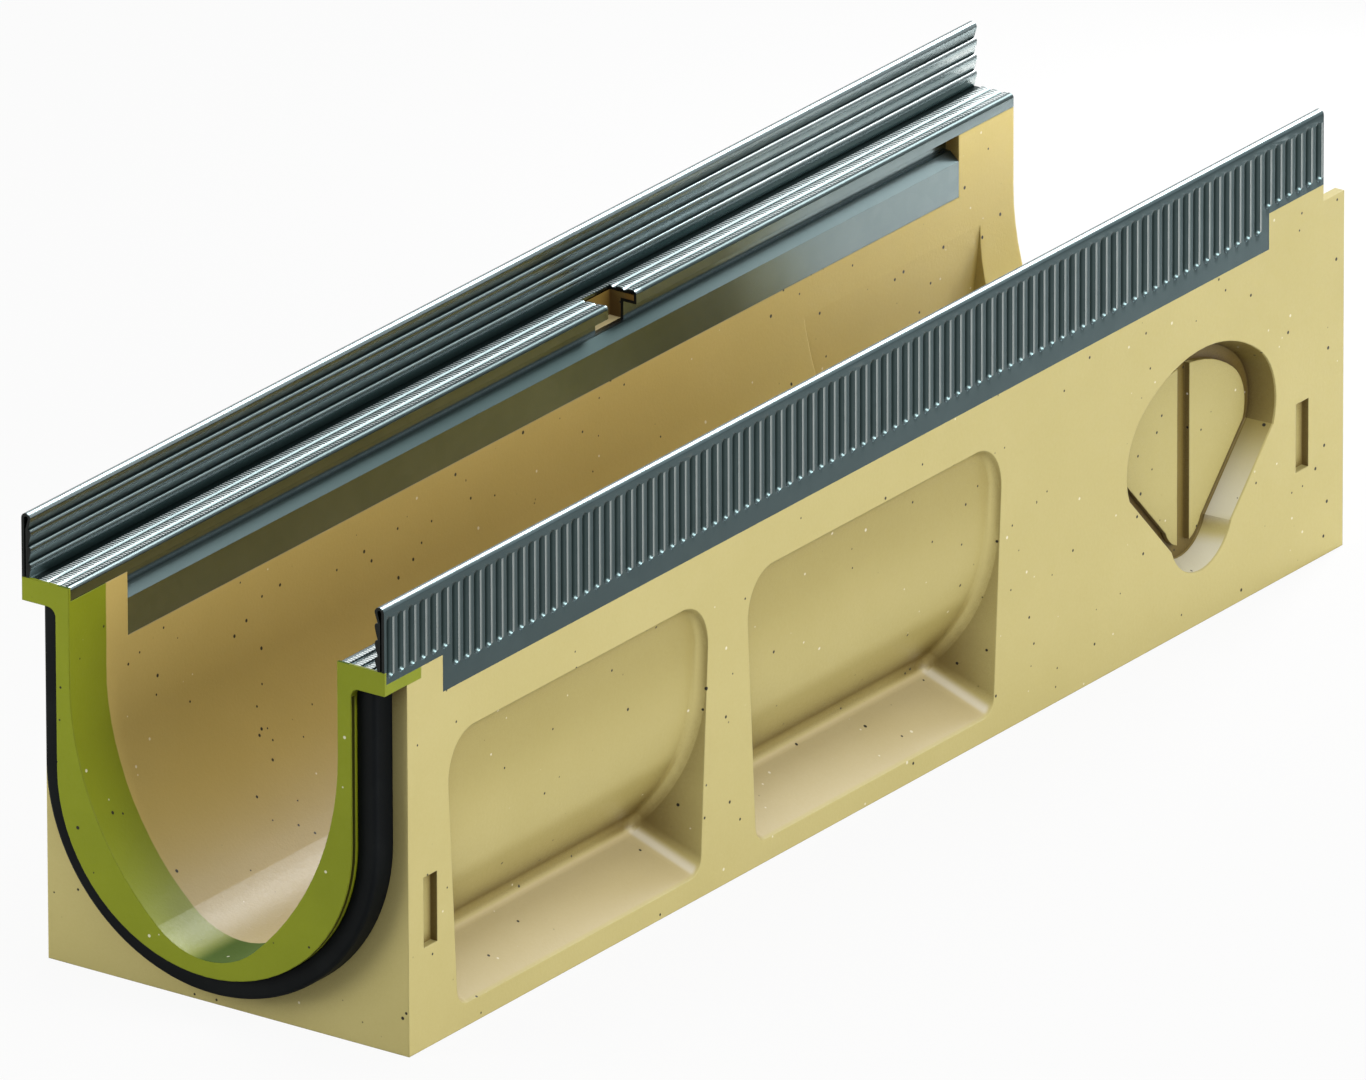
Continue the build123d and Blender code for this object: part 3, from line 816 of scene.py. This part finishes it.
# %% [markdown]
# ## The seal's way round the tongue
# The seal is a rubber strip bent into a U round the tongue. It starts under the land of the
# tongue, where a small fillet pushes it out, goes straight down, half round and straight up
# again. Each station says which way is out, how high it is and how far out the strip begins.

# %% The seal's way round
tongue_radius, seal_radius, land_bottom, land_fillet = 55.0, 62.0, 121.4, 3.0
seal_start, seal_end = front + 3.0, front + 11.5
fillet_steps, side_steps, round_steps = 6, 6, 72


def seal_stations():
    """The stations of the U: an angle in degrees, a height and an inner reach."""
    down = []
    straight_top = land_bottom - land_fillet
    for k in range(fillet_steps + 1):
        climb = land_fillet * (1 - k / fillet_steps)
        push = land_fillet - math.sqrt(land_fillet**2 - climb**2)
        down.append((0.0, straight_top + climb, tongue_radius + push))
    for k in range(1, side_steps):
        height = straight_top - (straight_top - axis_height) * k / side_steps
        down.append((0.0, height, tongue_radius))
    half_turn = [(-180.0 * k / round_steps, axis_height, tongue_radius) for k in range(round_steps + 1)]
    return down + half_turn + [(-180.0, height, inner) for _, height, inner in reversed(down)]


print("the seal has", len(seal_stations()), "stations")

# %% [markdown]
# ## Sweep the seal
# The same rounded section is set at every station and joined to the next. A curve with a bevel
# would do this too, but here the section grows at the fillet, so it is swept in code.

# %% Sweep the seal
outer_edge, inner_edge = 1.6, 0.5


def seal_section(inner):
    """Reach from the axis and place along the channel, once round the rubber strip."""
    outer_round = arc((seal_radius - outer_edge, seal_start + outer_edge), outer_edge, 0, -90, 6)
    inner_round = arc((inner + inner_edge, seal_start + inner_edge), inner_edge, -90, -180, 3)
    return [(seal_radius, seal_end)] + outer_round + inner_round + [(inner, seal_end)]


points, faces, loops = [], [], []
for angle, height, inner in seal_stations():
    out_x, out_z = math.cos(math.radians(angle)), math.sin(math.radians(angle))
    loop = []
    for reach, place in seal_section(inner):
        loop.append(len(points))
        points.append((reach * out_x, place, height + reach * out_z))
    loops.append(loop)
size = len(loops[0])
for one, two in zip(loops, loops[1:]):
    faces += [(one[k], two[k], two[(k + 1) % size], one[(k + 1) % size]) for k in range(size)]
faces += [loops[0], loops[-1][::-1]]
seal = mesh_piece("end_seal_moulded", points, faces, rubber, sharp=40)
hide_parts("end_seal")
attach(seal, "root")
print("seal has", len(faces), "faces")

# %% [markdown]
# ## The floor
# The channel stands on a pale paper floor. The camera should see it almost white, as in a studio,
# but a white floor would also throw too much light up on the object. So the floor is light grey
# for every ray but the camera's, and the camera sees mostly plain white with a soft shadow in it.

# %% The floor
paper, tree, shader = new_material("pale_floor")
shader.inputs["Roughness"].default_value = 0.9
mottle = put(tree, "TexNoise", inputs={"Scale": 3.0}).outputs[0]
pale = blend(tree, mottle, (0.46, 0.46, 0.45, 1), (0.49, 0.49, 0.48, 1))
tree.links.new(pale, shader.inputs["Base Color"])
seen = put(tree, "LightPath").outputs
white = put(tree, "Emission", inputs={0: (1, 1, 1, 1), 1: 1.0})
share = part_of(tree, seen["Is Camera Ray"], 0.93)
mixed = put(tree, "MixShader", inputs={0: share, 1: shader.outputs[0], 2: white.outputs[0]})
tree.links.new(mixed.outputs[0], tree.nodes["Material Output"].inputs["Surface"])

far, floor_level = 30e3, -0.1
floor_corners = [(x, y, floor_level) for x, y in ((-far, -far), (far, -far), (far, far), (-far, far))]
floor = mesh_piece("floor", floor_corners, [(0, 1, 2, 3)], paper)
print("floor placed")

# %% [markdown]
# ## The world
# The world is a faint cool light from all sides, as from the walls of a bright room. The camera,
# and what mirrors in the steel or shines through something, sees it as plain white at strength 1,
# so the background is white without more light on the object.

# %% The world
world = bpy.data.worlds.new("studio")
bpy.context.scene.world = world
world.use_nodes = True
tree = world.node_tree
room = tree.nodes["Background"]
room.inputs[0].default_value = (0.94, 0.97, 1.0, 1)
room.inputs[1].default_value = 0.22
seen = put(tree, "LightPath").outputs
backdrop = put(tree, "Background", inputs={0: (1, 1, 1, 1), 1: 1.0})
direct = maths(tree, "ADD", seen["Is Camera Ray"], seen["Is Glossy Ray"])
direct = maths(tree, "ADD", direct, seen["Is Transmission Ray"], clamp=True)
mixed = put(tree, "MixShader", inputs={0: direct, 1: room.outputs[0], 2: backdrop.outputs[0]})
tree.links.new(mixed.outputs[0], tree.nodes["World Output"].inputs["Surface"])
print("world set")

# %% [markdown]
# ## The lamps
# Five soft lamps make the studio. The window on the right lights the side that the camera sees,
# the sky panel fills the water way from above, and a small front fill opens the shade on the end
# face. The back strip is only there to be mirrored: it draws the bright streaks on the zinc, so it
# gives no diffuse light. The end glow stands low beyond the socket and brightens the far end of
# the water way. It is out of sight of the camera and of mirrored rays.

# %% The lamps


def soft_lamp(name, direction, distance, size, power, colour=(1, 1, 1), height=None):
    """A flat lamp that looks at the channel from one direction."""
    data = bpy.data.lights.new(name, "AREA")
    data.size, data.energy, data.color = size, power, colour
    if height:
        data.shape, data.size_y = "RECTANGLE", height
    lamp = bpy.data.objects.new(name, data)
    towards = Vector(direction).normalized()
    lamp.location = towards * distance
    lamp.rotation_mode = "QUATERNION"
    lamp.rotation_quaternion = towards.to_track_quat("Z", "Y")
    bpy.context.scene.collection.objects.link(lamp)
    return lamp


warm, cream = (1.0, 0.98, 0.95), (1.0, 0.99, 0.9)
soft_lamp("window", (0.93, -0.10, 0.38), distance=2.4, size=1.1, power=46, colour=warm)
soft_lamp("sky_panel", (0.0, 0.2, 1.0), distance=2.0, size=1.4, power=20)
soft_lamp("front_fill", (-0.5, -0.8, 0.35), distance=1.0, size=0.5, power=4.2, colour=cream)
strip = soft_lamp("back_strip", (-0.048, 0.786, 0.616), distance=4.0, size=2.35, power=115, height=1.1)
strip.visible_diffuse = False
glow = soft_lamp("end_glow", (-0.02, 1.0, 0.25), distance=0.65, size=0.11, power=4.2)
glow.visible_camera = glow.visible_glossy = False
bpy.context.scene.view_settings.view_transform = "Standard"
